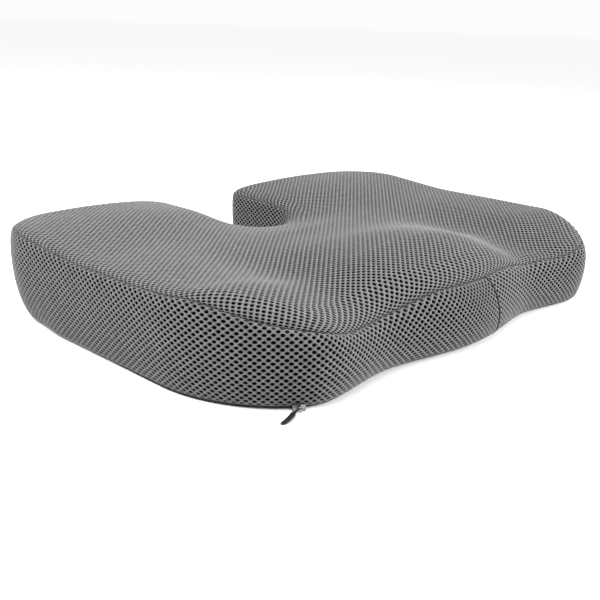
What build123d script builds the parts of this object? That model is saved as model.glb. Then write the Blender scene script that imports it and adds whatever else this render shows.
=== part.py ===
"""Seat cushion: contoured foam block in a zipped spacer-mesh cover, with a U-shaped coccyx cut-out.

Frame: +Z up, front edge towards -Y, cut-out opening towards +Y, mirror plane X = 0.
The origin is under the middle of the cushion, on the surface that it rests on. Millimetres.
"""

from build123d import *

import os
from math import cos, exp, hypot, radians, sin

# ---- plan outline, at the widest level of the side wall ----
HALF_WIDTH = 225.0
HALF_DEPTH = 165.0
FRONT_WAVE = [(45.0, -159.5), (92.0, -153.0), (139.0, -159.5)]  # central bump, leg scallop, corner lobe
FRONT_CORNER = (121.0, -67.0)  # centre of the large front corner
FRONT_CORNER_SWEEP = 60.0
REAR_CORNER = (161.0, 88.0)
REAR_CORNER_SWEEP = 80.0
REAR_EDGE = [(128.0, 156.0), (90.0, 160.0)]
LOBE_TIP_X = 56.0  # centre of the rounded tip beside the cut-out
LOBE_TIP_RADIUS = 19.0
CUTOUT_HALF_WIDTH = 37.0
CUTOUT_CENTRE_Y = 91.0

# ---- side wall: level above the ground, and how far the outline draws in there ----
WALL_SECTIONS = [(0.0, 5.0), (25.0, 0.0), (58.0, 3.0), (95.0, 12.0)]
BASE_INSET = WALL_SECTIONS[0][1]

# ---- cover ----
MESH_THICKNESS = 3.0  # spacer mesh, top panel and band
SEAM_BINDING = 1.5  # folded edge of the band under the top panel
LINER_THICKNESS = 0.8
BASE_CLOTH = 1.6
BINDING_TOP = 4.5
JOIN_WIDTH = 1.2
JOIN_REACH = 60.0
FRONT_JOIN_X = 32.0
BASE_CLOTH_INSET = 0.8

# ---- zip, under the rim of the left side and round the front left corner ----
# Depths are measured inwards from the outline at ground level.
ZIP_END_Y = 95.0
ZIP_SLIDER_ANGLE = 55.0  # round the front corner, from the side
ZIP_CHAIN_END_ANGLE = 54.5
ZIP_TAPE_END_ANGLE = 59.5
ZIP_TAPE_SPARE = 4.0
COIL_WIDTH = 1.8
COIL_GAP = 1.2
COIL_DEPTH = 2.9
COIL_BOTTOM = 0.85
COIL_TOP = 1.6
TAPE_TOP = 2.0
OUTER_TAPE = (0.3, 4.0)
INNER_TAPE = (6.3, 12.0)
CHANNEL_DEPTHS = (-8.0, 12.5)
CHANNEL_TOP = 3.6
BASE_CLOTH_ZIP_INSET = 9.0
STOP_LENGTH = 2.0
STOP_GAP = 0.5

# ---- zip slider and puller ----
SLIDER_LENGTH = 8.0
SLIDER_PLATE = 0.4
SLIDER_BOTTOM = 0.15
SLIDER_TOP = 2.7
SLIDER_INNER_DEPTH = 8.4
UPPER_PLATE_DEPTH = 3.4
LUG_THICKNESS = 1.0
LUG_TOP = 4.4
LUG_DEPTH = -3.2
NECK_THICKNESS = 0.6
NECK_LENGTH = 2.4
POST_DEPTH = -5.2  # the post that the puller swings on
POST_RADIUS = 0.5
POST_ARM_HEIGHT = 0.6
POST_ARM_WIDTH = 1.6
POST_LEVELS = (0.6, 4.2)
EYE_RADIUS = 1.6
EYE_CLEARANCE = 0.3
PULL_LEVELS = (1.9, 2.8)
PULL_LINK_WIDTH = 2.2
PULL_LINK_LENGTH = 8.0
PULL_SWEEP = 42.0  # how far the puller lies swung back along the chain
TAB_WIDTH = 3.2
TAB_PROFILE = [(6.0, 1.2), (6.0, 3.5), (10.0, 3.4), (15.0, 2.5), (20.5, 1.2), (20.5, 0.35), (15.0, 1.2), (10.0, 1.4)]

# ---- top surface ----
GRID_STEPS = 24
CUT_HEIGHT = 120.0


def smooth(t):
    """A soft step from 0 to 1 as t goes from 0 to 1."""
    t = min(max(t, 0.0), 1.0)
    return t * t * (3.0 - 2.0 * t)


def top_height(x, y):
    """Height of the sculpted top: rising to the back, two leg channels, a bowl, low round the cut-out."""
    side = 49.0 + 13.5 * smooth((y + 155.0) / 70.0) + 6.5 * smooth((y - 15.0) / 105.0)
    channel = 10.0 * exp(-(((abs(x) - 112.0) / 40.0) ** 2)) * smooth((20.0 - y) / 110.0)
    bowl = 6.0 * exp(-(((y - 5.0) / 60.0) ** 2)) * exp(-((x / 140.0) ** 4))
    tail = 13.0 * exp(-((x / 70.0) ** 2)) * smooth((y - 5.0) / 70.0)
    return side - channel - bowl - tail + 1.5


def offset_points(points, before, after, inset):
    """The points moved towards the foam, square to the line through their neighbours."""
    chain = [before, *points, after]
    moved = []
    for i in range(1, len(chain) - 1):
        dx = chain[i + 1][0] - chain[i - 1][0]
        dy = chain[i + 1][1] - chain[i - 1][1]
        length = hypot(dx, dy)
        x, y = chain[i]
        moved.append((x - dy / length * inset, y + dx / length * inset))
    return moved


def polar(centre, radius, angle):
    """The point at an angle in degrees, anticlockwise from +X, on a circle."""
    return (centre[0] + radius * cos(radians(angle)), centre[1] + radius * sin(radians(angle)))


def outline(inset):
    """One closed plan outline drawn in by inset, to be used inside a BuildLine block."""
    front_r = HALF_WIDTH - FRONT_CORNER[0] - inset
    rear_r = HALF_WIDTH - REAR_CORNER[0] - inset
    tip_r = LOBE_TIP_RADIUS - inset
    tip = (LOBE_TIP_X, HALF_DEPTH - LOBE_TIP_RADIUS)
    cut_r = CUTOUT_HALF_WIDTH + inset
    front = (0.0, -HALF_DEPTH + inset)
    lobe_end = polar(FRONT_CORNER, front_r, -FRONT_CORNER_SWEEP)
    rear_start = polar(REAR_CORNER, rear_r, REAR_CORNER_SWEEP)
    tip_start = (tip[0], tip[1] + tip_r)
    side_x = HALF_WIDTH - inset
    front_before = (0.0, -HALF_DEPTH)
    front_after = polar(FRONT_CORNER, HALF_WIDTH - FRONT_CORNER[0], -FRONT_CORNER_SWEEP)
    wave = offset_points(FRONT_WAVE, front_before, front_after, inset)
    rear_before = polar(REAR_CORNER, HALF_WIDTH - REAR_CORNER[0], REAR_CORNER_SWEEP)
    rear = offset_points(REAR_EDGE, rear_before, (LOBE_TIP_X, HALF_DEPTH), inset)
    lobe_slope = (sin(radians(FRONT_CORNER_SWEEP)), cos(radians(FRONT_CORNER_SWEEP)))
    rear_slope = (-sin(radians(REAR_CORNER_SWEEP)), cos(radians(REAR_CORNER_SWEEP)))

    def flip(points):
        return [(-x, y) for x, y in reversed(points)]

    front_right = [front, *wave, lobe_end]
    rear_right = [rear_start, *rear, tip_start]
    Spline(*front_right, tangents=[(1, 0), lobe_slope])
    CenterArc(FRONT_CORNER, front_r, -FRONT_CORNER_SWEEP, FRONT_CORNER_SWEEP)
    Line((side_x, FRONT_CORNER[1]), (side_x, REAR_CORNER[1]))
    CenterArc(REAR_CORNER, rear_r, 0, REAR_CORNER_SWEEP)
    Spline(*rear_right, tangents=[rear_slope, (-1, 0)])
    CenterArc(tip, tip_r, 90, 90)
    Line((cut_r, tip[1]), (cut_r, CUTOUT_CENTRE_Y))
    CenterArc((0, CUTOUT_CENTRE_Y), cut_r, 0, -180)
    Line((-cut_r, CUTOUT_CENTRE_Y), (-cut_r, tip[1]))
    CenterArc((-tip[0], tip[1]), tip_r, 0, 90)
    Spline(*flip(rear_right), tangents=[(-1, 0), (rear_slope[0], -rear_slope[1])])
    CenterArc((-REAR_CORNER[0], REAR_CORNER[1]), rear_r, 180 - REAR_CORNER_SWEEP, REAR_CORNER_SWEEP)
    Line((-side_x, REAR_CORNER[1]), (-side_x, FRONT_CORNER[1]))
    CenterArc((-FRONT_CORNER[0], FRONT_CORNER[1]), front_r, 180, FRONT_CORNER_SWEEP)
    Spline(*flip(front_right), tangents=[(lobe_slope[0], -lobe_slope[1]), (1, 0)])


def top_surface(drop):
    """The sculpted top as one face, lowered by drop and wider than the cushion."""
    half_x = HALF_WIDTH + 15.0
    half_y = HALF_DEPTH + 15.0
    rows = []
    for i in range(GRID_STEPS + 1):
        x = -half_x + 2.0 * half_x * i / GRID_STEPS
        row = []
        for j in range(GRID_STEPS + 1):
            y = -half_y + 2.0 * half_y * j / GRID_STEPS
            row.append((x, y, top_height(x, y) - drop))
        rows.append(row)
    return Face.make_surface_from_array_of_points(rows, tol=0.05)


def body(inset, drop, bottom):
    """The cushion's form, drawn in by inset, its top lowered by drop and cut flat at bottom."""
    with BuildPart() as form:
        for level, wall_inset in WALL_SECTIONS:
            with BuildSketch(Plane.XY.offset(level)):
                with BuildLine():
                    outline(inset + wall_inset)
                make_face()
        loft()
        extrude(top_surface(drop), amount=CUT_HEIGHT, dir=(0, 0, 1), mode=Mode.SUBTRACT)
        if bottom > 0.0:
            split(bisect_by=Plane.XY.offset(bottom), keep=Keep.TOP)
    return form.part


def zip_strip(depths, bottom, top, end_angle=ZIP_CHAIN_END_ANGLE, end_y=ZIP_END_Y):
    """A strip between two depths, down the left side and round the front left corner."""
    centre = (-FRONT_CORNER[0], FRONT_CORNER[1])
    ground_r = HALF_WIDTH - FRONT_CORNER[0] - BASE_INSET
    outer_r = ground_r - depths[0]
    inner_r = ground_r - depths[1]
    with BuildPart() as strip:
        with BuildSketch(Plane.XY.offset(bottom)):
            with BuildLine():
                Line((centre[0] - outer_r, end_y), (centre[0] - outer_r, centre[1]))
                CenterArc(centre, outer_r, 180, end_angle)
                Line(polar(centre, outer_r, 180 + end_angle), polar(centre, inner_r, 180 + end_angle))
                CenterArc(centre, inner_r, 180 + end_angle, -end_angle)
                Line((centre[0] - inner_r, centre[1]), (centre[0] - inner_r, end_y))
                Line((centre[0] - inner_r, end_y), (centre[0] - outer_r, end_y))
            make_face()
        extrude(amount=top - bottom)
    return strip.part


def zip_plane(angle, depth):
    """A plane on the corner: +X along the chain towards the front, +Y inwards, +Z up."""
    centre = (-FRONT_CORNER[0], FRONT_CORNER[1])
    radius = HALF_WIDTH - FRONT_CORNER[0] - BASE_INSET - depth
    x, y = polar(centre, radius, 180 + angle)
    along = (sin(radians(angle)), -cos(radians(angle)), 0)
    return Plane(origin=(x, y, 0), x_dir=along, z_dir=(0, 0, 1))


def slab(plane, x_range, y_range, z_range):
    """A block between three pairs of limits, in a plane's own axes."""
    with BuildPart(plane) as block:
        with Locations((x_range[0], y_range[0], z_range[0])):
            Box(
                x_range[1] - x_range[0],
                y_range[1] - y_range[0],
                z_range[1] - z_range[0],
                align=(Align.MIN, Align.MIN, Align.MIN),
            )
    return block.part


pieces = {}

# ---- shared forms ----
foam_inset = MESH_THICKNESS + LINER_THICKNESS
foam_bottom = BASE_CLOTH + LINER_THICKNESS
channel_end_y = ZIP_END_Y + ZIP_TAPE_SPARE + 1.0
outer_form = body(0.0, 0.0, 0.0)
under_panel = body(0.0, MESH_THICKNESS, 0.0)
under_binding = body(0.0, MESH_THICKNESS + SEAM_BINDING, BASE_CLOTH)
liner_space = body(MESH_THICKNESS, MESH_THICKNESS, BASE_CLOTH)
foam_space = body(foam_inset, foam_inset, foam_bottom)
zip_channel = zip_strip(CHANNEL_DEPTHS, 0.0, CHANNEL_TOP, ZIP_TAPE_END_ANGLE, channel_end_y)

# ---- foam core ----
with BuildPart() as foam_core:
    add(foam_space)
    add(zip_channel, mode=Mode.SUBTRACT)
pieces["foam_core"] = foam_core

# ---- inner liner: a cap over the foam and a flat base ----
with BuildPart() as inner_liner_cap:
    add(liner_space)
    split(bisect_by=Plane.XY.offset(foam_bottom), keep=Keep.TOP)
    add(foam_space, mode=Mode.SUBTRACT)
    add(zip_channel, mode=Mode.SUBTRACT)
pieces["inner_liner_cap"] = inner_liner_cap

with BuildPart() as inner_liner_base:
    add(liner_space)
    split(bisect_by=Plane.XY.offset(foam_bottom), keep=Keep.BOTTOM)
    add(zip_channel, mode=Mode.SUBTRACT)
pieces["inner_liner_base"] = inner_liner_base

# ---- top panel ----
with BuildPart() as top_panel:
    add(outer_form)
    add(under_panel, mode=Mode.SUBTRACT)
pieces["top_panel"] = top_panel

# ---- folded edge of the band, sewn under the top panel ----
with BuildPart() as top_seam_binding:
    add(under_panel)
    split(bisect_by=Plane.XY.offset(BINDING_TOP), keep=Keep.TOP)
    add(under_binding, mode=Mode.SUBTRACT)
    add(liner_space, mode=Mode.SUBTRACT)
pieces["top_seam_binding"] = top_seam_binding

# ---- side band: two strips joined at the front and inside the cut-out ----
with BuildPart() as band_ring:
    add(under_binding)
    add(liner_space, mode=Mode.SUBTRACT)
    add(zip_strip(CHANNEL_DEPTHS, 0.0, TAPE_TOP, ZIP_TAPE_END_ANGLE, channel_end_y), mode=Mode.SUBTRACT)

with BuildPart() as binding_zone:
    with BuildSketch(Plane.XY.offset(BASE_CLOTH)):
        Rectangle(3 * HALF_WIDTH, 3 * HALF_DEPTH)
    extrude(amount=BINDING_TOP - BASE_CLOTH)
    add(zip_strip(CHANNEL_DEPTHS, 0.0, CUT_HEIGHT, ZIP_TAPE_END_ANGLE, channel_end_y), mode=Mode.SUBTRACT)

with BuildPart() as join_zone:
    for x, y in ((FRONT_JOIN_X, -HALF_DEPTH), (0.0, CUTOUT_CENTRE_Y - CUTOUT_HALF_WIDTH)):
        with Locations((x, y, CUT_HEIGHT / 2)):
            Box(JOIN_WIDTH, JOIN_REACH, CUT_HEIGHT)

with BuildPart() as left_zone:
    with BuildSketch():
        with Locations((FRONT_JOIN_X - 2 * HALF_WIDTH, -HALF_DEPTH)):
            Rectangle(4 * HALF_WIDTH, 2 * HALF_DEPTH)
        with Locations((-2 * HALF_WIDTH, HALF_DEPTH)):
            Rectangle(4 * HALF_WIDTH, 2 * HALF_DEPTH)
    extrude(amount=CUT_HEIGHT)

for name, keep in (("band_left", Mode.INTERSECT), ("band_right", Mode.SUBTRACT)):
    with BuildPart() as band:
        add(band_ring.part)
        add(binding_zone.part, mode=Mode.SUBTRACT)
        add(join_zone.part, mode=Mode.SUBTRACT)
        add(left_zone.part, mode=keep)
    pieces[name] = band

for name, keep in (("band_front_join", Keep.TOP), ("band_rear_join", Keep.BOTTOM)):
    with BuildPart() as join:
        add(band_ring.part)
        add(binding_zone.part, mode=Mode.SUBTRACT)
        add(join_zone.part, mode=Mode.INTERSECT)
        split(bisect_by=Plane.XZ, keep=keep)
    pieces[name] = join

with BuildPart() as base_binding:
    add(band_ring.part)
    add(binding_zone.part, mode=Mode.INTERSECT)
pieces["base_binding"] = base_binding

# ---- base panel ----
with BuildPart() as base_panel:
    with BuildSketch():
        with BuildLine():
            outline(BASE_INSET + BASE_CLOTH_INSET)
        make_face()
    extrude(amount=BASE_CLOTH)
    cut_depths = (CHANNEL_DEPTHS[0], BASE_CLOTH_ZIP_INSET)
    add(zip_strip(cut_depths, 0.0, CHANNEL_TOP, ZIP_TAPE_END_ANGLE, channel_end_y), mode=Mode.SUBTRACT)
pieces["base_panel"] = base_panel

# ---- zip tapes and coils ----
tape_span = (ZIP_TAPE_END_ANGLE, ZIP_END_Y + ZIP_TAPE_SPARE)
coil_outer = (COIL_DEPTH, COIL_DEPTH + COIL_WIDTH)
coil_inner = (coil_outer[1] + COIL_GAP, coil_outer[1] + COIL_GAP + COIL_WIDTH)
zip_strips = {
    "zip_tape_outer": (OUTER_TAPE, COIL_TOP, TAPE_TOP, *tape_span),
    "zip_tape_inner": (INNER_TAPE, COIL_TOP, TAPE_TOP, *tape_span),
    "zip_coil_outer": (coil_outer, COIL_BOTTOM, COIL_TOP),
    "zip_coil_inner": (coil_inner, COIL_BOTTOM, COIL_TOP),
}
for name, sizes in zip_strips.items():
    with BuildPart() as strip_piece:
        add(zip_strip(*sizes))
    pieces[name] = strip_piece

# ---- zip stops, one across the tapes at each end ----
stop_depths = (coil_outer[0], coil_inner[1])
slider_frame = zip_plane(ZIP_SLIDER_ANGLE, 0.0)
front_stop_start = SLIDER_LENGTH / 2 + STOP_GAP
with BuildPart() as zip_stop_front:
    add(
        slab(
            slider_frame,
            (front_stop_start, front_stop_start + STOP_LENGTH),
            stop_depths,
            (COIL_BOTTOM, COIL_TOP),
        )
    )
pieces["zip_stop_front"] = zip_stop_front

side_x = -(HALF_WIDTH - BASE_INSET)
with BuildPart() as zip_stop_rear:
    add(
        slab(
            Plane.XY,
            (side_x + stop_depths[0], side_x + stop_depths[1]),
            (ZIP_END_Y, ZIP_END_Y + STOP_LENGTH),
            (COIL_BOTTOM, COIL_TOP),
        )
    )
pieces["zip_stop_rear"] = zip_stop_rear

# ---- zip slider: two plates joined by a neck between the coils, and a lug outside with a post ----
half_length = SLIDER_LENGTH / 2
slider_span = (-half_length, half_length)
lower_plate = (SLIDER_BOTTOM, SLIDER_BOTTOM + SLIDER_PLATE)
upper_plate = (SLIDER_TOP - SLIDER_PLATE, SLIDER_TOP)
neck_middle = (coil_outer[1] + coil_inner[0]) / 2
neck_depths = (neck_middle - NECK_THICKNESS / 2, neck_middle + NECK_THICKNESS / 2)
lug_depths = (LUG_DEPTH, LUG_DEPTH + LUG_THICKNESS)
arm_depths = (POST_DEPTH - POST_ARM_WIDTH / 2, LUG_DEPTH)
arm_span = (-POST_ARM_WIDTH / 2, POST_ARM_WIDTH / 2)
with BuildPart() as zip_slider:
    add(slab(slider_frame, slider_span, (LUG_DEPTH, SLIDER_INNER_DEPTH), lower_plate))
    add(slab(slider_frame, slider_span, (UPPER_PLATE_DEPTH, SLIDER_INNER_DEPTH), upper_plate))
    add(slab(slider_frame, (half_length - NECK_LENGTH, half_length), neck_depths, (SLIDER_BOTTOM, SLIDER_TOP)))
    add(slab(slider_frame, slider_span, lug_depths, (SLIDER_BOTTOM, LUG_TOP)))
    for level in (POST_LEVELS[0], POST_LEVELS[1] - POST_ARM_HEIGHT):
        add(slab(slider_frame, arm_span, arm_depths, (level, level + POST_ARM_HEIGHT)))
    with BuildSketch(slider_frame.offset(POST_LEVELS[0])):
        with Locations((0, POST_DEPTH)):
            Circle(POST_RADIUS)
    extrude(amount=POST_LEVELS[1] - POST_LEVELS[0])
pieces["zip_slider"] = zip_slider

# ---- puller: an eye and link on the post, and the black tab moulded over the link's end ----
post = zip_plane(ZIP_SLIDER_ANGLE, POST_DEPTH).origin
pull_angle = 180 + ZIP_SLIDER_ANGLE - PULL_SWEEP
pull_x = (cos(radians(pull_angle)), sin(radians(pull_angle)), 0)
pull_frame = Plane(origin=post, x_dir=pull_x, z_dir=(0, 0, 1))
with BuildPart() as zip_pull_link:
    with BuildSketch(pull_frame.offset(PULL_LEVELS[0])):
        Circle(EYE_RADIUS)
        with Locations((PULL_LINK_LENGTH / 2, 0)):
            Rectangle(PULL_LINK_LENGTH, PULL_LINK_WIDTH)
        Circle(POST_RADIUS + EYE_CLEARANCE, mode=Mode.SUBTRACT)
    extrude(amount=PULL_LEVELS[1] - PULL_LEVELS[0])
pieces["zip_pull_link"] = zip_pull_link

tab_side = Plane(origin=post, x_dir=pull_x, z_dir=pull_frame.y_dir)
with BuildPart() as zip_pull_tab:
    with BuildSketch(tab_side):
        with BuildLine():
            Polyline(*[(x, -z) for x, z in TAB_PROFILE], close=True)
        make_face()
    extrude(amount=TAB_WIDTH / 2, both=True)
    add(zip_pull_link.part, mode=Mode.SUBTRACT)
pieces["zip_pull_tab"] = zip_pull_tab

# ---- files ----
os.makedirs("parts", exist_ok=True)
for name, piece in pieces.items():
    piece.part.label = name
    export_step(piece.part, f"parts/{name}.step")
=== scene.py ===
"""Seat cushion: the spacer-mesh cover, its seams, the zip and the base cloth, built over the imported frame.

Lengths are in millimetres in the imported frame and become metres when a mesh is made.
"""

import math

import bpy
import numpy as np
from mathutils import Matrix


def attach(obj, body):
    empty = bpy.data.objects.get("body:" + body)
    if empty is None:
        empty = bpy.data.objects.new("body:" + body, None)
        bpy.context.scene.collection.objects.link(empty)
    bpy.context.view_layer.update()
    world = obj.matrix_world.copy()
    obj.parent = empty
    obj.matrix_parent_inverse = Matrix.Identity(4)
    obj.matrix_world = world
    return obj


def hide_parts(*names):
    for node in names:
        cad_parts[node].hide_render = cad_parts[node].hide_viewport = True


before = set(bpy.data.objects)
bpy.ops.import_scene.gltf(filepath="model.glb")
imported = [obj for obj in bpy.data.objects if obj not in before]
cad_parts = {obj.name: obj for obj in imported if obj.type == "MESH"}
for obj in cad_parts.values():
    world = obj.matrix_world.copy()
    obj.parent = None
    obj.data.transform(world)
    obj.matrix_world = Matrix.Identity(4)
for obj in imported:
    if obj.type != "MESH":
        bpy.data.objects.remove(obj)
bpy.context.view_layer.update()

# ---- plan outline at the widest level, right half ----
FRONT_WAVE = [(0, -165), (45, -159.5), (92, -153), (139, -159.5)]
FRONT_CORNER = (121.0, -67.0)
REAR_CORNER = (161.0, 88.0)
HALF_WIDTH = 225.0
REAR_EDGE = [(128, 156), (90, 160), (56, 165)]
TIP = (56.0, 146.0)
TIP_RADIUS = 19.0
CUT_RADIUS = 37.0
CUT_CENTRE_Y = 91.0
FRONT_SWEEP = 60.0
REAR_SWEEP = 80.0
BASE_INSET = 5.0
JOIN_X = 32.0

# ---- where the sewn cover sits a little high or low: x, y, reach, height ----
TRIMS = [
    (-212, -116, 42, 4.4),
    (-190, -146, 24, 1.6),
    (-142, -162, 18, -1.6),
    (-74, -154, 26, -3.2),
    (113, -155, 17, 3.8),
    (205, -126, 30, 3.0),
]
BAND_FOOT = 1.9
FOOT_DRAW = 1.3

# ---- the band's wall: its usual height and swelling, and how far the front join leans ----
WALL_HEIGHT = 56.0
WALL_SWELL = 6.5
SWELL_POWER = 0.55
LEAN_FOOT = 3.0
LEAN_TOP = 15.0
LEAN_REACH = 42.0

# ---- spacer mesh: a staggered net of holes ----
PITCH_U = 5.46
PITCH_V = 4.65
HOLE = (1.3, 1.2)
NET_DEPTH = 0.75
TOP_RELIEF = 0.3
BAND_RELIEF = 0.5
BACKING_DEPTH = 2.2
SEAM_MARGIN = 2.7
JOIN_MARGIN = 2.6
FOOT_MARGIN = 1.4
BAND_TOP_MARGIN = 1.5
THINNEST_FACE = 0.004
TOP_SPLIT = 106.0
STITCH_PITCH = 3.1

# ---- zip ----
ZIP_END_Y = 95.0
SLIDER_ANGLE = 55.0
ZIP_END_ANGLE = 57.5
POST_DEPTH = -5.2
PULL_SWEEP = 42.0
TOOTH_PITCH = 1.3
TOOTH_SIDES = 8
BINDING_OVERLAP = 84.0
TAB_STATIONS = 15
TAB_SIDES = 16

# ---- inside and underside ----
FOAM_GAP = 4.5
FOAM_BOTTOM = 7.0
FOAM_CELL = 2.4
DOT_SIDES = 10


# ---------------------------------------------------------------- mesh helpers


def link(name, data):
    """An object for a mesh, light or camera, put into the scene."""
    obj = bpy.data.objects.new(name, data)
    bpy.context.scene.collection.objects.link(obj)
    return obj


def make(name, verts, faces):
    """A smooth mesh object from vertices in millimetres and faces, either one array or a list of arrays."""
    mesh = bpy.data.meshes.new(name)
    verts = np.asarray(verts, float) * 0.001
    groups = faces if isinstance(faces, list) else [faces]
    groups = [np.asarray(f, np.int32) for f in groups]
    sizes = np.concatenate([np.full(len(g), g.shape[1], np.int32) for g in groups])
    loops = np.concatenate([g.ravel() for g in groups])
    starts = np.concatenate([[0], np.cumsum(sizes)[:-1]]).astype(np.int32)
    mesh.vertices.add(len(verts))
    mesh.vertices.foreach_set("co", verts.astype(np.float32).ravel())
    mesh.loops.add(len(loops))
    mesh.loops.foreach_set("vertex_index", loops)
    mesh.polygons.add(len(sizes))
    mesh.polygons.foreach_set("loop_start", starts)
    mesh.update(calc_edges=True)
    mesh.validate()
    mesh.polygons.foreach_set("use_smooth", np.full(len(mesh.polygons), True))
    return link(name, mesh)


def make_flat(name, verts, faces):
    """A flat-shaded mesh object from vertices in millimetres and a list of faces of any size."""
    mesh = bpy.data.meshes.new(name)
    mesh.from_pydata((verts * 0.001).tolist(), [], faces)
    mesh.update()
    return link(name, mesh)


def dress(obj, body, material, nodes=()):
    """Gives a piece its material, the body it rides on and the CAD nodes it stands for.

    A net has three materials, by the rings of faces that it was made from: the yarn's own grey on the
    strands, then painted shade, a darker grey on the slope into each hole and near-black on the hole's sides.
    """
    obj.data.materials.clear()
    obj.data.materials.append(material)
    if "shaded" in obj:
        obj.data.materials.append(painted_shade_rim_mat)
        obj.data.materials.append(painted_shade_hole_mat)
        index = np.repeat([0, 1, 2], obj["shaded"]).astype(np.int32)
        obj.data.polygons.foreach_set("material_index", index)
    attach(obj, body)
    if nodes:
        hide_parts(*nodes)
    return obj


def grid_faces(rows, cols, wrap_rows=False, wrap_cols=False):
    """Quads over a grid of rows x cols vertices."""
    i = np.arange(rows if wrap_rows else rows - 1)
    j = np.arange(cols if wrap_cols else cols - 1)
    i, j = np.meshgrid(i, j, indexing="ij")
    a = i * cols + j
    b = i * cols + (j + 1) % cols
    c = ((i + 1) % rows) * cols + (j + 1) % cols
    d = ((i + 1) % rows) * cols + j
    return np.stack([a, b, c, d], -1).reshape(-1, 4)


def tube(name, path, normals, radii, closed=False, sides=8):
    """A round cord along a path, of a radius that may vary along it."""
    path = np.asarray(path, float)
    ahead = np.roll(path, -1, 0) - np.roll(path, 1, 0)
    if not closed:
        ahead[0] = path[1] - path[0]
        ahead[-1] = path[-1] - path[-2]
    ahead /= np.linalg.norm(ahead, axis=1)[:, None]
    side = np.cross(ahead, normals)
    side /= np.linalg.norm(side, axis=1)[:, None]
    up = np.cross(side, ahead)
    angle = np.arange(sides) * 2 * math.pi / sides
    r = np.broadcast_to(np.asarray(radii, float), (len(path),))[:, None, None]
    ring = side[:, None] * np.cos(angle)[None, :, None] + up[:, None] * np.sin(angle)[None, :, None]
    verts = path[:, None] + ring * r
    faces = [grid_faces(len(path), sides, wrap_rows=closed, wrap_cols=True)]
    if not closed:
        last = (len(path) - 1) * sides
        faces.append(np.array([list(range(sides))[::-1], [last + k for k in range(sides)]]))
    return make(name, verts.reshape(-1, 3), faces)


# ---------------------------------------------------------------- plan outline


def cubic(points, start, end, steps=60):
    """A smooth curve through points with given end directions."""
    p = np.array(points, float)
    d = np.linalg.norm(np.diff(p, axis=0), axis=1)
    n = len(p)
    a = np.zeros((n, n))
    b = np.zeros((n, 2))
    a[0, 0] = a[-1, -1] = 1
    b[0], b[-1] = start, end
    for i in range(1, n - 1):
        a[i, i - 1 : i + 2] = 1 / d[i - 1], 2 / d[i - 1] + 2 / d[i], 1 / d[i]
        b[i] = 3 * ((p[i] - p[i - 1]) / d[i - 1] ** 2 + (p[i + 1] - p[i]) / d[i] ** 2)
    m = np.linalg.solve(a, b)
    t = np.linspace(0, 1, steps, endpoint=False)[:, None]
    out = []
    for i in range(n - 1):
        h0, h1 = 2 * t**3 - 3 * t**2 + 1, t**3 - 2 * t**2 + t
        h2, h3 = -2 * t**3 + 3 * t**2, t**3 - t**2
        out.append(h0 * p[i] + h1 * d[i] * m[i] + h2 * p[i + 1] + h3 * d[i] * m[i + 1])
    return np.vstack(out)


def arc(centre, radius, start, sweep, steps=90):
    """Points round an arc, from a start angle over a sweep in degrees."""
    angle = np.radians(start + sweep * np.linspace(0, 1, steps, endpoint=False))
    return np.stack([centre[0] + radius * np.cos(angle), centre[1] + radius * np.sin(angle)], 1)


front_r = HALF_WIDTH - FRONT_CORNER[0]
rear_r = HALF_WIDTH - REAR_CORNER[0]
lobe = arc(FRONT_CORNER, front_r, -FRONT_SWEEP, 0, 1)[0]
rear = arc(REAR_CORNER, rear_r, REAR_SWEEP, 0, 1)[0]
lobe_way = (math.sin(math.radians(FRONT_SWEEP)), math.cos(math.radians(FRONT_SWEEP)))
rear_way = (-math.sin(math.radians(REAR_SWEEP)), math.cos(math.radians(REAR_SWEEP)))
half = np.vstack(
    [
        cubic(FRONT_WAVE + [tuple(lobe)], (1, 0), lobe_way),
        arc(FRONT_CORNER, front_r, -FRONT_SWEEP, FRONT_SWEEP),
        arc(REAR_CORNER, rear_r, 0, REAR_SWEEP),
        cubic([tuple(rear)] + REAR_EDGE, rear_way, (-1, 0)),
        arc(TIP, TIP_RADIUS, 90, 90),
        arc((0, CUT_CENTRE_Y), CUT_RADIUS, 0, -90),
        [(0, CUT_CENTRE_Y - CUT_RADIUS)],
    ]
)
ring = np.vstack([half, (half * [-1, 1])[-2:0:-1]])
length = np.concatenate([[0], np.cumsum(np.linalg.norm(np.roll(ring, -1, 0) - ring, axis=1))])
PERIMETER = length[-1]
COUNT = int(PERIMETER)
STEP = PERIMETER / COUNT
S = np.arange(COUNT) * STEP
closed_ring = np.vstack([ring, ring[:1]])
C = np.stack([np.interp(S, length, closed_ring[:, k]) for k in (0, 1)], 1)
along = np.roll(C, -2, 0) - np.roll(C, 2, 0)
along /= np.linalg.norm(along, axis=1)[:, None]
N = np.stack([along[:, 1], -along[:, 0]], 1)
for _ in range(6):
    N = (np.roll(N, 1, 0) + 2 * N + np.roll(N, -1, 0)) / 4
N /= np.linalg.norm(N, axis=1)[:, None]


def smooth(t):
    """A smooth step from 0 to 1 as t goes from 0 to 1."""
    t = np.clip(t, 0.0, 1.0)
    return t * t * (3.0 - 2.0 * t)


# ---------------------------------------------------------------- form


def seam_level(x, y):
    """Height of the top surface before its padded rise: the level of the top seam at the outline."""
    side = 49.0 + 13.5 * smooth((y + 155.0) / 70.0) + 6.5 * smooth((y - 15.0) / 105.0)
    channel = 10.0 * np.exp(-(((np.abs(x) - 112.0) / 40.0) ** 2)) * smooth((20.0 - y) / 110.0)
    bowl = 6.0 * np.exp(-(((y - 5.0) / 60.0) ** 2)) * np.exp(-((x / 140.0) ** 4))
    tail = 13.0 * np.exp(-((x / 70.0) ** 2)) * smooth((y - 5.0) / 70.0)
    uneven = 0.0
    for px, py, reach, add in TRIMS:
        uneven = uneven + add * np.exp(-((x - px) ** 2 + (y - py) ** 2) / reach**2)
    return side - channel - bowl - tail + uneven


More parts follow.
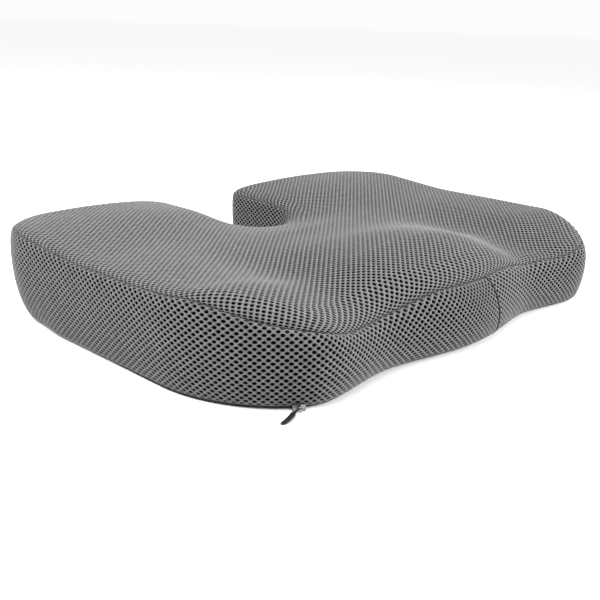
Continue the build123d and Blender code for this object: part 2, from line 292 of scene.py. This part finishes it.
def rise(x, y):
    """How far the padding stands above the seam, and over what width it rolls over to it."""
    front = smooth((-y - 70.0) / 80.0)
    taut = smooth((x - 45.0) / 50.0) * smooth((-y - 20.0) / 60.0)
    return (2.4 + 4.6 * front) * (1 - 0.6 * taut), (15.0 + 9.0 * front) * (1 - 0.5 * taut)


def crown(x, y):
    """The extra fullness of the foam between the two leg channels."""
    return 4.5 * np.exp(-(((x - 15.0) / 44.0) ** 2)) * smooth((-y - 15.0) / 60.0)


front_side = smooth((-C[:, 1] - 95.0) / 50.0) * np.exp(-((C[:, 0] / 158.0) ** 4))
inner = smooth((62.0 - np.abs(C[:, 0])) / 22.0) * smooth((C[:, 1] - 30.0) / 15.0)
SEAM_OUT = 1.5 - 7.0 * front_side
SEAM_INSET = BASE_INSET - SEAM_OUT
SEAM_Z = seam_level(C[:, 0], C[:, 1])
BULGE = (5.4 - 0.6 * SEAM_OUT) * (1 - 0.45 * inner)
PEAK = 0.62 + 0.25 * front_side
corner_tuck = 5.0 * smooth((C[:, 1] - 50.0) / 45.0) * smooth((np.abs(C[:, 0]) - 120.0) / 50.0)
lobe_tuck = 6.0 * smooth((C[:, 0] - 160.0) / 40.0) * smooth((-C[:, 1] - 20.0) / 50.0)
FOOT_EXTRA = FOOT_DRAW + corner_tuck + lobe_tuck - 1.0 * inner


def at(values, s):
    """A quantity sampled round the outline, at arc length s."""
    q = np.mod(s / STEP, COUNT)
    i = np.floor(q).astype(int) % COUNT
    f = q - np.floor(q)
    j = (i + 1) % COUNT
    if values.ndim > 1:
        f = f[..., None]
    return values[i] * (1 - f) + values[j] * f


# fabric length down a typical wall against the drop from the seam
drop = np.concatenate([[0], 0.5 - 0.5 * np.cos(np.linspace(0, math.pi, 200))[1:]])
swell = np.sin(math.pi * np.clip(drop, 0, 1)) ** SWELL_POWER
walk = np.concatenate([[0], np.cumsum(np.hypot(np.diff(drop) * WALL_HEIGHT, np.diff(swell) * WALL_SWELL))])
FABRIC_EXTRA = walk[-1] / WALL_HEIGHT
FABRIC = SEAM_Z * FABRIC_EXTRA
front_join = float(S[np.argmin(np.abs(C[:, 0] - JOIN_X) + (C[:, 1] > 0) * 999)])
rear_join = float(S[np.argmin(np.hypot(C[:, 0], C[:, 1] - (CUT_CENTRE_Y - CUT_RADIUS)))])


def wall(s, w):
    """The band's surface at arc length s, w of fabric above the base seam. The front join leans a little."""
    total = at(FABRIC, s)
    away = np.mod(s - front_join + PERIMETER / 2, PERIMETER) - PERIMETER / 2
    s = s - (LEAN_FOOT + LEAN_TOP * w / total) * np.exp(-((away / LEAN_REACH) ** 2))
    fall = np.interp((1 - np.clip(w / total, 0, 1)) * walk[-1], walk, drop)
    z = BAND_FOOT + (at(SEAM_Z, s) - BAND_FOOT) * (1 - fall)
    shape = np.sin(math.pi * fall ** at(PEAK, s)) ** SWELL_POWER
    inset = at(SEAM_INSET, s) * (1 - fall) + (BASE_INSET - 0.3) * fall
    inset = inset + at(FOOT_EXTRA, s) * fall**4 - at(BULGE, s) * shape
    ripple = 0.35 * np.sin(s / 23.0 + 0.6) * np.sin(math.pi * fall) * np.sin(s / 61.0)
    normal = at(N, s)
    flat = at(C, s) - normal * (inset + ripple)[..., None]
    return np.concatenate([flat, z[..., None]], -1)


def band_map(start, end):
    """Fabric (s, w) to points and normals on the band between two joins, drawn in at every seam."""

    def mapper(uv):
        s = np.clip(uv[:, 0], start, end)
        w = np.clip(uv[:, 1], 0, at(FABRIC, s))
        e = 0.4
        p = wall(s, w)
        du = wall(s + e, w) - wall(s - e, w)
        dw = wall(s, np.minimum(w + e, at(FABRIC, s))) - wall(s, np.maximum(w - e, 0))
        n = np.cross(du, dw)
        n /= np.linalg.norm(n, axis=1)[:, None] + 1e-9
        gap_top = at(FABRIC, s) - w
        gap_join = np.minimum(s - start, end - s)
        sunk = 0.7 * np.exp(-((gap_top / 1.0) ** 2)) + 0.9 * np.exp(-((gap_join / 1.1) ** 2))
        sunk = sunk + 0.8 * np.exp(-((w / 1.5) ** 2))
        return p - n * sunk[:, None], n

    return mapper


SEAM_LINE = C - N * SEAM_INSET[:, None]
SEAM_MATCH = SEAM_Z - seam_level(SEAM_LINE[:, 0], SEAM_LINE[:, 1])


def top_map(uv):
    """Fabric plan position to points and normals on the top panel, rolled over to the seam."""
    uv = np.asarray(uv, float)
    reach = np.full(len(uv), 1e3)
    nearest = np.zeros(len(uv), int)
    for k in range(0, len(uv), 4000):
        part = uv[k : k + 4000]
        rough = ((part[:, None] - SEAM_LINE[None, ::12]) ** 2).sum(-1)
        near = np.where(rough.min(1) < 52.0**2)[0]
        if len(near):
            full = ((part[near][:, None] - SEAM_LINE[None]) ** 2).sum(-1)
            best = full.argmin(1)
            nearest[k + near] = best
            reach[k + near] = -((part[near] - SEAM_LINE[best]) * N[best]).sum(1)
    lift, width = rise(uv[:, 0], uv[:, 1])
    quarter = math.pi / 2 * np.sqrt((lift**2 + width**2) / 2)
    spare = quarter - width
    path = np.clip(reach + spare, 0, None)
    turn = np.clip(path / quarter, 0, 1) * math.pi / 2
    inside = np.where(path < quarter, width * (1 - np.cos(turn)), path - spare)
    shift = np.where(reach < 900, reach - inside, 0)
    out = N[nearest]
    flat = uv + out * shift[:, None]
    flat = np.where((reach + spare < 0)[:, None], SEAM_LINE[nearest], flat)
    z = seam_level(flat[:, 0], flat[:, 1]) + lift * np.sin(turn)
    z = z + np.where(reach < 900, SEAM_MATCH[nearest] * (1 - smooth(path / 22.0)), 0)
    full = smooth(np.where(reach < 900, path, 1e3) / 42.0)
    z = z + crown(flat[:, 0], flat[:, 1]) * full
    e = 0.5
    gx = (seam_level(flat[:, 0] + e, flat[:, 1]) - seam_level(flat[:, 0] - e, flat[:, 1])) / (2 * e)
    gy = (seam_level(flat[:, 0], flat[:, 1] + e) - seam_level(flat[:, 0], flat[:, 1] - e)) / (2 * e)
    slope = np.minimum(lift * np.cos(turn) / (width * np.sin(turn) + 0.4), 3.0)
    n = np.stack([-gx + out[:, 0] * slope, -gy + out[:, 1] * slope, np.ones(len(uv))], 1)
    n /= np.linalg.norm(n, axis=1)[:, None]
    sunk = 0.6 * np.exp(-((path / 1.0) ** 2))
    return np.concatenate([flat, z[:, None]], 1) - n * sunk[:, None], n


def depth_inside(points):
    """Distance of plan points inside the top seam, allowing for the fabric that rolls over."""
    lift, width = rise(points[:, 0], points[:, 1])
    spare = math.pi / 2 * np.sqrt((lift**2 + width**2) / 2) - width
    out = np.zeros(len(points))
    for k in range(0, len(points), 4000):
        part = points[k : k + 4000]
        full = ((part[:, None] - SEAM_LINE[None, ::2]) ** 2).sum(-1)
        best = full.argmin(1) * 2
        out[k : k + 4000] = -((part - SEAM_LINE[best]) * N[best]).sum(1)
    return out + spare


# ---------------------------------------------------------------- the net

HEXAGON = np.array([(0.5, 1 / 3), (0.5, -1 / 3), (0, -2 / 3), (-0.5, -1 / 3), (-0.5, 1 / 3), (0, 2 / 3)])


def net(name, centres, mapper, relief):
    """One piece of spacer mesh: a rim, a strand and a hole in each six-sided cell, and its backing, painted
    near-black as the shade seen through the holes.
    """
    n = len(centres)
    middle = (HEXAGON + np.roll(HEXAGON, -1, 0)) / 2
    rim = np.stack([HEXAGON, middle], 1).reshape(-1, 2) * [PITCH_U, PITCH_V / 2]
    cells = centres[:, None] + rim[None]
    key = np.round(cells.reshape(-1, 2) * 8).astype(np.int64)
    code = key[:, 0] * 1000003 + key[:, 1]
    _, first, back = np.unique(code, return_index=True, return_inverse=True)
    outer_uv = cells.reshape(-1, 2)[first]
    outer = back.reshape(n, 12)
    angle = np.arctan2(rim[:, 1] / PITCH_V, rim[:, 0] / PITCH_U)
    wobble = 1 + 0.05 * np.sin(centres[:, 0] * 1.7 + centres[:, 1] * 2.3)
    oval = np.stack([HOLE[0] * np.cos(angle), HOLE[1] * np.sin(angle)], 1)
    hole_uv = (centres[:, None] + oval[None] * wobble[:, None, None]).reshape(-1, 2)
    p_out, n_out = mapper(outer_uv)
    p_hole, n_hole = mapper(hole_uv)
    p_mid = p_out[outer.ravel()] * 0.42 + p_hole * 0.58 + n_hole * 0.4 * relief
    p_lip = p_hole - n_hole * 0.44 * relief
    p_deep = p_hole - n_hole * NET_DEPTH
    verts = np.vstack([p_out + n_out * relief, p_mid, p_lip, p_deep])
    strand = len(outer_uv) + np.arange(n * 12).reshape(n, 12)
    rings = [outer, strand, strand + n * 12, strand + 2 * n * 12]
    faces = []
    for far, near in zip(rings[:-1], rings[1:]):
        quads = np.stack([far, near, np.roll(near, -1, 1), np.roll(far, -1, 1)], -1).reshape(-1, 4)
        p = verts[quads]
        spread = np.cross(p[:, 2] - p[:, 0], p[:, 3] - p[:, 1])
        faces.append(quads[np.linalg.norm(spread, axis=1) > THINNEST_FACE])
    cover = make(name, verts, np.vstack(faces))
    cover["shaded"] = [len(part) for part in faces]
    backing = make(name + "_back", p_out - n_out * BACKING_DEPTH, outer[:, ::2])
    return cover, backing


def lattice(u0, u1, v0, v1):
    """Centres of the staggered cells over a rectangle of fabric."""
    rows = np.arange(math.floor(v0 / (PITCH_V / 2)), math.ceil(v1 / (PITCH_V / 2)) + 1)
    cols = np.arange(math.floor(u0 / PITCH_U), math.ceil(u1 / PITCH_U) + 1)
    r, c = np.meshgrid(rows, cols, indexing="ij")
    return np.stack([(c + 0.5 * (r % 2)).ravel() * PITCH_U, r.ravel() * PITCH_V / 2], 1)


# ---------------------------------------------------------------- materials


def material(name, color, rough, metal=0.0, sheen=0.0, spec=0.3):
    """A principled material and its shader, for one kind of surface."""
    m = bpy.data.materials.new(name)
    m.use_nodes = True
    shader = m.node_tree.nodes["Principled BSDF"]
    shader.inputs["Base Color"].default_value = (*color, 1)
    shader.inputs["Roughness"].default_value = rough
    shader.inputs["Metallic"].default_value = metal
    shader.inputs["Sheen Weight"].default_value = sheen
    shader.inputs["Sheen Roughness"].default_value = 0.5
    shader.inputs["Specular IOR Level"].default_value = spec
    return m, shader


def vary(m, shader, low, high, scale, fine=0.0, bump=0.3):
    """Mottled colour between two colours from noise, with a fine yarn grain in the colour and the bump."""
    nodes, links = m.node_tree.nodes, m.node_tree.links
    place = nodes.new("ShaderNodeTexCoord")
    broad = nodes.new("ShaderNodeTexNoise")
    broad.inputs["Scale"].default_value = scale
    broad.inputs["Detail"].default_value = 3.0
    links.new(place.outputs["Object"], broad.inputs["Vector"])
    grain = nodes.new("ShaderNodeTexNoise")
    grain.inputs["Scale"].default_value = 900.0
    grain.inputs["Detail"].default_value = 2.0
    links.new(place.outputs["Object"], grain.inputs["Vector"])
    total = nodes.new("ShaderNodeMath")
    total.operation = "MULTIPLY_ADD"
    total.inputs[1].default_value = fine
    links.new(grain.outputs["Fac"], total.inputs[0])
    links.new(broad.outputs["Fac"], total.inputs[2])
    ramp = nodes.new("ShaderNodeValToRGB")
    ramp.color_ramp.elements[0].position = 0.35 + fine * 0.3
    ramp.color_ramp.elements[1].position = 0.65 + fine * 0.7
    ramp.color_ramp.elements[0].color = (*low, 1)
    ramp.color_ramp.elements[1].color = (*high, 1)
    links.new(total.outputs[0], ramp.inputs["Fac"])
    links.new(ramp.outputs["Color"], shader.inputs["Base Color"])
    relief = nodes.new("ShaderNodeBump")
    relief.inputs["Strength"].default_value = bump
    relief.inputs["Distance"].default_value = 0.0002
    links.new(grain.outputs["Fac"], relief.inputs["Height"])
    links.new(relief.outputs["Normal"], shader.inputs["Normal"])
    return m


def grey(v):
    """A neutral colour of one level."""
    return (v, v, v)


def grey_material(name, tone, rough, low, high, scale, fine=0.0, bump=0.3, **shader):
    """A material mottled between two greys."""
    made = material(name, grey(tone), rough, **shader)
    return vary(*made, grey(low), grey(high), scale, fine=fine, bump=bump)


mesh_mat = grey_material("spacer_mesh", 0.12, 0.85, 0.096, 0.152, 260.0, fine=0.6, sheen=0.08, spec=0.2)
# painted shade: a darker grey on the slope from each strand down into its hole, for the shade round the hole
painted_shade_rim_mat = grey_material("mesh_rim_painted_shade", 0.092, 0.85, 0.074, 0.112, 300.0, fine=0.5, spec=0.15)
# painted shade: near-black on the sides of each hole, for the shade inside it
painted_shade_hole_mat = grey_material("mesh_hole_sides_painted_shade", 0.016, 0.9, 0.01, 0.026, 300.0, spec=0.05)
# painted shade: the backing under the net is painted near-black for the shade seen through the holes
painted_shade_backing_mat = grey_material("mesh_backing_painted_shade", 0.006, 0.95, 0.004, 0.009, 300.0, spec=0.0)
edge_mat = grey_material("folded_edge", 0.16, 0.85, 0.12, 0.2, 400.0, fine=0.5, sheen=0.2)
thread_mat = grey_material("seam_thread", 0.022, 0.85, 0.014, 0.035, 700.0, spec=0.1)
foam_made = material("foam", (0.75, 0.72, 0.62), 0.95)
foam_mat = vary(*foam_made, (0.7, 0.67, 0.56), (0.8, 0.77, 0.68), 300.0, bump=0.6)
liner_mat = grey_material("liner_cloth", 0.6, 0.9, 0.55, 0.65, 500.0)
base_mat = grey_material("base_cloth", 0.02, 0.85, 0.014, 0.035, 900.0, fine=0.6, bump=0.5, sheen=0.15)
dot_mat = grey_material("grip_dots", 0.03, 0.45, 0.025, 0.04, 200.0, bump=0.1, spec=0.5)
tape_mat = grey_material("zip_tape", 0.012, 0.85, 0.008, 0.02, 900.0, fine=0.6, bump=0.5)
coil_mat = grey_material("zip_coil", 0.02, 0.4, 0.015, 0.03, 500.0, bump=0.1, spec=0.5)
metal_mat = grey_material("zip_metal", 0.2, 0.38, 0.14, 0.28, 120.0, bump=0.08, metal=1.0)
tab_mat = grey_material("pull_tab", 0.007, 0.6, 0.005, 0.011, 250.0, bump=0.12, spec=0.2)

# ---------------------------------------------------------------- cover: top panel

cells = lattice(-HALF_WIDTH, HALF_WIDTH, -175, 175)
cells = cells[depth_inside(cells) > -SEAM_MARGIN]
parts = [
    ("top_mesh_left", cells[cells[:, 0] < -TOP_SPLIT]),
    ("top_mesh_middle_left", cells[(cells[:, 0] >= -TOP_SPLIT) & (cells[:, 0] < 0)]),
    ("top_mesh_middle_right", cells[(cells[:, 0] >= 0) & (cells[:, 0] <= TOP_SPLIT)]),
    ("top_mesh_right", cells[cells[:, 0] > TOP_SPLIT]),
]
for name, group in parts:
    cover, backing = net(name, group, top_map, TOP_RELIEF)
    dress(cover, "cushion", mesh_mat, ["top_panel"])
    dress(backing, "cushion", painted_shade_backing_mat, ["inner_liner_cap"])

# ---------------------------------------------------------------- cover: band, in two strips

strips = [
    ("band_mesh_right", front_join, rear_join, "band_right"),
    ("band_mesh_left", rear_join, front_join + PERIMETER, "band_left"),
]
for name, start, end, node in strips:
    cells = lattice(start, end, 0, 82)
    keep = (cells[:, 0] > start - JOIN_MARGIN) & (cells[:, 0] < end + JOIN_MARGIN)
    keep &= (cells[:, 1] > -FOOT_MARGIN) & (cells[:, 1] < at(FABRIC, cells[:, 0]) + BAND_TOP_MARGIN)
    cells = cells[keep]
    first = cells[:, 0] < (start + end) / 2
    for part, group in (("a", cells[first]), ("b", cells[~first])):
        cover, backing = net(name + "_" + part, group, band_map(start, end), BAND_RELIEF)
        dress(cover, "cushion", mesh_mat, [node])
        dress(backing, "cushion", painted_shade_backing_mat, ["inner_liner_cap"])

# ---------------------------------------------------------------- seams

out3 = np.concatenate([N, np.zeros((COUNT, 1))], 1)
seam_path = np.concatenate([SEAM_LINE - N * 0.55, SEAM_Z[:, None] - 0.55], 1)
dense = np.arange(int(PERIMETER / 0.75)) * (PERIMETER / int(PERIMETER / 0.75))
stitch = 0.28 + 0.1 * np.sin(dense * 2 * math.pi / STITCH_PITCH)
piece = tube("top_seam_thread", at(seam_path, dense), at(out3, dense), stitch, closed=True, sides=6)
dress(piece, "cushion", thread_mat)
fold = np.concatenate([SEAM_LINE - N * 1.9, SEAM_Z[:, None] - 1.9], 1)
piece = tube("top_seam_fold", fold, out3, 1.1, closed=True, sides=8)
dress(piece, "cushion", edge_mat, ["top_seam_binding"])
join_seams = [
    ("front_join_seam", front_join, "band_front_join"),
    ("rear_join_seam", rear_join, "band_rear_join"),
]
for name, s, node in join_seams:
    w = np.linspace(0.6, at(FABRIC, np.array([s]))[0] - 0.2, 80)
    line = wall(np.full(80, s), w)
    normal = at(out3, np.full(80, s))
    stitch = 0.55 + 0.12 * np.sin(w * 2 * math.pi / STITCH_PITCH)
    piece = tube(name, line + normal * 0.05, normal, stitch, sides=6)
    dress(piece, "cushion", thread_mat, [node])

# ---------------------------------------------------------------- base edge


def strip(name, s0, s1, section, tucked=0.0):
    """A ring or a stretch of it with a small closed section, given as (inset, z) corners.

    tucked draws it further in near its start, which is where the zip ends under the rear corner.
    """
    s = np.arange(s0, s1, 1.5)
    section = np.array(section, float)
    inset = section[None, :, :1] + at(FOOT_EXTRA, s)[:, None, None]
    inset = inset + tucked * smooth((s0 + 150.0 - s) / 90.0)[:, None, None]
    flat = at(C, s)[:, None] - at(N, s)[:, None] * inset
    verts = np.concatenate([flat, np.broadcast_to(section[None, :, 1:], (len(s), len(section), 1))], -1)
    k = len(section)
    last = (len(s) - 1) * k
    ends = np.array([list(range(k))[::-1], [last + i for i in range(k)]])
    return make(name, verts.reshape(-1, 3), [grid_faces(len(s), k, wrap_cols=True), ends])


left_corner = (-FRONT_CORNER[0], FRONT_CORNER[1])
zip_front = arc(left_corner, front_r, 180 + ZIP_END_ANGLE, 0, 1)[0]
s_zip_front = float(S[np.argmin(np.hypot(*(C - zip_front).T))])
s_zip_rear = float(S[np.argmin(np.abs(C[:, 1] - ZIP_END_Y - 2) + (C[:, 0] > -200) * 999)])
edge_angle = np.radians(np.arange(10) * 36)
round_edge = np.stack([BASE_INSET + 0.9 - 1.5 * np.cos(edge_angle), 2.6 + 1.15 * np.sin(edge_angle)], 1)
piece = strip("base_edge_binding", s_zip_front, s_zip_rear + PERIMETER + BINDING_OVERLAP, round_edge)
piece.data.flip_normals()
dress(piece, "cushion", edge_mat, ["base_binding"])
tape_section = [(4.9, 0.5), (4.7, 1.5), (4.9, 2.5), (8.0, 2.4), (8.0, 1.6), (5.6, 1.4)]
piece = strip("zip_tape_outer_cloth", s_zip_rear + 4.0, s_zip_front, tape_section, tucked=2.4)
dress(piece, "cushion", tape_mat, ["zip_tape_outer"])
tape_section = [(11.3, 1.5), (11.3, 2.1), (17.0, 2.1), (17.0, 1.5)]
piece = strip("zip_tape_inner_cloth", s_zip_rear, s_zip_front, tape_section)
dress(piece, "cushion", tape_mat, ["zip_tape_inner"])

# ---------------------------------------------------------------- zip chain


def tooth_row(name, inset0, inset1, shift, node):
    """A row of small rounded coil turns along the zip."""
    start, end = s_zip_rear + 3.0, s_zip_front - 4.0
    s = np.arange(start + shift, end, TOOTH_PITCH)
    angle = np.radians(np.arange(TOOTH_SIDES) * 360 / TOOTH_SIDES)
    mid, reach = (inset0 + inset1) / 2, (inset1 - inset0) / 2
    verts = []
    for k, width in ((-1, 0.2), (-0.5, 0.42), (0.5, 0.42), (1, 0.2)):
        inset = mid + k * reach + at(FOOT_EXTRA, s) - FOOT_DRAW
        base = at(C, s) - at(N, s) * inset[:, None]
        ways = at(along, s)
        side = base[:, None] + ways[:, None] * (np.cos(angle) * width)[None, :, None]
        z = np.broadcast_to(1.22 + np.sin(angle) * 0.37, (len(s), TOOTH_SIDES))[..., None]
        verts.append(np.concatenate([side, z], -1))
    verts = np.stack(verts, 1).reshape(-1, 3)
    each = 4 * TOOTH_SIDES
    first = (np.arange(len(s)) * each)[:, None, None]
    one = grid_faces(4, TOOTH_SIDES, wrap_cols=True)
    faces = (one[None] + first).reshape(-1, 4)
    caps = np.array([list(range(TOOTH_SIDES))[::-1], list(range(each - TOOTH_SIDES, each))])
    caps = (caps[None] + first).reshape(-1, TOOTH_SIDES)
    piece = make(name, verts, [faces, caps])
    return dress(piece, "cushion", coil_mat, [node])


tooth_row("zip_teeth_outer", 7.9, 9.7, 0.0, "zip_coil_outer")
tooth_row("zip_teeth_inner", 10.9, 12.7, TOOTH_PITCH / 2, "zip_coil_inner")

# ---------------------------------------------------------------- base cloth with grip dots

base_line = C - N * (BASE_INSET + 0.9 + FOOT_EXTRA)[:, None]
rings, levels = [], [(0.0, 1.5), (-0.35, 1.1), (-0.2, 0.7), (0.5, 0.5)]
zip_part = smooth((S - s_zip_rear) / 6.0) * smooth((s_zip_front - S) / 6.0)
for draw, z in levels:
    line = base_line - N * (draw + 3.4 * zip_part)[:, None]
    rings.append(np.concatenate([line, np.full((COUNT, 1), z)], 1))
keep = np.arange(0, COUNT, 3)
stack = np.stack(rings)[:, keep]
k = len(keep)
side_faces = grid_faces(len(levels), k, wrap_cols=True).tolist()
loop = list(range((len(levels) - 1) * k, len(levels) * k))
piece = make_flat("base_cloth_sheet", stack.reshape(-1, 3), side_faces + [loop, list(range(k))[::-1]])
dress(piece, "cushion", base_mat, ["base_panel"])

spots = lattice(-200, 200, -160, 160) * [2.2, 2.58]
spots = spots[(np.abs(spots[:, 0]) < 225) & (np.abs(spots[:, 1]) < 165)]
spots = spots[depth_inside(spots) > 14]
dome = []
for radius, z in ((1.5, 0.55), (1.35, 0.25), (0.8, 0.06), (0.25, 0.0)):
    angle = np.radians(np.arange(DOT_SIDES) * 360 / DOT_SIDES)
    dome.append(np.stack([radius * np.cos(angle), radius * np.sin(angle), np.full(DOT_SIDES, z)], 1))
dome = np.vstack(dome)
verts = np.concatenate([spots, np.zeros((len(spots), 1))], 1)[:, None] + dome[None]
first = (np.arange(len(spots)) * len(dome))[:, None, None]
one = grid_faces(4, DOT_SIDES, wrap_cols=True)[:, ::-1]
faces = (one[None] + first).reshape(-1, 4)
caps = np.arange(len(dome) - DOT_SIDES, len(dome))[::-1]
caps = (caps[None, None] + first).reshape(-1, DOT_SIDES)
piece = make("base_grip_dots", verts.reshape(-1, 3), [faces, caps])
dress(piece, "cushion", dot_mat)

# ---------------------------------------------------------------- foam and base liner, inside


def inner_form(name, gap, bottom):
    """A closed form inside the cover: the top and wall drawn in by gap, flat below."""
    pick = np.arange(0, COUNT, 4)
    s = S[pick]
    rows = []
    for share in np.linspace(0.08, 0.78, 9):
        w = at(FABRIC, s) * share
        p = wall(s, w) - at(out3, s) * gap
        p[:, 2] = np.maximum(p[:, 2], bottom)
        rows.append(p)
    floor_row = rows[0].copy()
    floor_row[:, 2] = bottom
    for draw in (9.0, 14.0, 21.0, 34.0):
        p, n = top_map(SEAM_LINE[pick] - N[pick] * draw)
        rows.append(p - n * (gap + 2.0))
    stack = np.stack([floor_row] + rows)
    k = len(pick)
    wall_count = len(stack) * k
    blocks = lattice(-240, 240, -175, 175) * FOAM_CELL
    blocks = blocks[(np.abs(blocks[:, 0]) < 225) & (np.abs(blocks[:, 1]) < 170)]
    blocks = blocks[depth_inside(blocks) > 26]
    plan = (blocks[:, None] + HEXAGON[None] * [PITCH_U * FOAM_CELL, PITCH_V * (FOAM_CELL / 2)]).reshape(-1, 2)
    p, n = top_map(plan)
    faces = grid_faces(len(stack), k, wrap_cols=True).tolist() + [list(range(k))[::-1]]
    faces += (wall_count + np.arange(len(plan)).reshape(-1, 6)[:, ::-1]).tolist()
    return make_flat(name, np.vstack([stack.reshape(-1, 3), p - n * gap]), faces)


foam = inner_form("foam_block", FOAM_GAP, FOAM_BOTTOM)
dress(foam, "cushion", foam_mat, ["foam_core"])
liner = strip("base_liner_hem", 0, PERIMETER - 1.5, [(13, 2.6), (13, 3.0), (20, 3.0), (20, 2.6)])
dress(liner, "cushion", liner_mat, ["inner_liner_base"])

# ---------------------------------------------------------------- slider, link and tab

crimp_foot = [(7.6, 0.7), (8.2, 0.35), (12.4, 0.35), (13.0, 0.7)]
crimp_head = [(13.0, 2.0), (12.4, 2.35), (8.2, 2.35), (7.6, 2.0)]
piece = strip("zip_rear_crimp", s_zip_rear + 0.5, s_zip_rear + 3.6, crimp_foot + crimp_head)
dress(piece, "cushion", metal_mat, ["zip_stop_rear"])
for node in ("zip_slider", "zip_pull_link", "zip_stop_front"):
    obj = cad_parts[node]
    obj.data.materials.clear()
    obj.data.materials.append(metal_mat)

post = arc(left_corner, front_r - BASE_INSET - POST_DEPTH, 180 + SLIDER_ANGLE, 0, 1)[0]
pull = math.radians(180 + SLIDER_ANGLE - PULL_SWEEP)
ahead = np.array([math.cos(pull), math.sin(pull), 0.0])
across = np.array([-ahead[1], ahead[0], 0.0])
stations = np.linspace(0, 1, TAB_STATIONS)
reach = 6.2 + 14.3 * stations
height = 2.35 - 1.55 * smooth(stations) + 0.35 * np.sin(stations * math.pi)
sway = 1.1 * np.sin(stations * math.pi * 0.9) - 0.4 * stations
spine = np.array([*post, 0.0]) + reach[:, None] * ahead + sway[:, None] * across + height[:, None] * [0, 0, 1]
half_w = 1.75 * np.clip(1 - ((stations - 0.5) / 0.54) ** 8, 0.5, 1)
half_t = np.linspace(0.95, 0.42, TAB_STATIONS)
angle = np.radians(np.arange(TAB_SIDES) * 360 / TAB_SIDES)
section = np.stack([np.cos(angle), np.sin(angle)], 1)
section = np.sign(section) * np.abs(section) ** 0.5
verts = spine[:, None] + section[None, :, :1] * half_w[:, None, None] * across
verts = verts + section[None, :, 1:] * half_t[:, None, None] * [0, 0, 1]
last = (TAB_STATIONS - 1) * TAB_SIDES
ends = np.array([list(range(TAB_SIDES))[::-1], [last + i for i in range(TAB_SIDES)]])
faces = [grid_faces(TAB_STATIONS, TAB_SIDES, wrap_cols=True), ends]
piece = make("zip_tab_moulded", verts.reshape(-1, 3), faces)
dress(piece, "puller", tab_mat, ["zip_pull_tab"])

# ---------------------------------------------------------------- floor, lights, camera

bpy.ops.mesh.primitive_plane_add(size=80, location=(0, 0, 0))
floor = bpy.context.object
floor.name = "floor"
floor.data.materials.append(material("floor_white", grey(0.97), 0.9)[0])


def area(name, place, aim, size, power):
    """A soft rectangular light at a place, turned to a point, both in metres."""
    light = bpy.data.lights.new(name, "AREA")
    light.shape = "RECTANGLE"
    light.size, light.size_y = size
    light.energy = power
    obj = link(name, light)
    back = np.array(place, float) - aim
    back /= np.linalg.norm(back)
    right = np.cross([0, 0, 1], back)
    right /= np.linalg.norm(right) + 1e-9
    above = np.cross(back, right)
    turn = np.stack([right, above, back], 1)
    obj.matrix_world = Matrix([[*row, p] for row, p in zip(turn, place)] + [[0, 0, 0, 1]])


area("key_left", (-0.85, 0.45, 1.1), (-0.16, 0, 0.03), (0.7, 0.7), 20)
area("above", (-0.65, -0.1, 1.2), (-0.16, 0, 0), (0.7, 0.7), 9)
area("front_right", (1.25, -1.15, 0.5), (0, -0.05, 0.03), (0.7, 0.5), 48)

world = bpy.data.worlds.new("studio")
world.use_nodes = True
world.node_tree.nodes["Background"].inputs["Color"].default_value = (1, 1, 1, 1)
world.node_tree.nodes["Background"].inputs["Strength"].default_value = 0.97
bpy.context.scene.world = world
bpy.context.scene.view_settings.view_transform = "Standard"

camera = bpy.data.cameras.new("camera")
camera.sensor_width = 36
camera.lens = 51.28
camera_obj = link("camera", camera)
right = (0.69174, -0.72143, 0.03221)
above = (0.20075, 0.23496, 0.95105)
back = (-0.69368, -0.65141, 0.30736)
place = (-0.52424, -0.47210, 0.22305)
camera_obj.matrix_world = Matrix([[right[i], above[i], back[i], place[i]] for i in range(3)] + [[0, 0, 0, 1]])
bpy.context.scene.camera = camera_obj
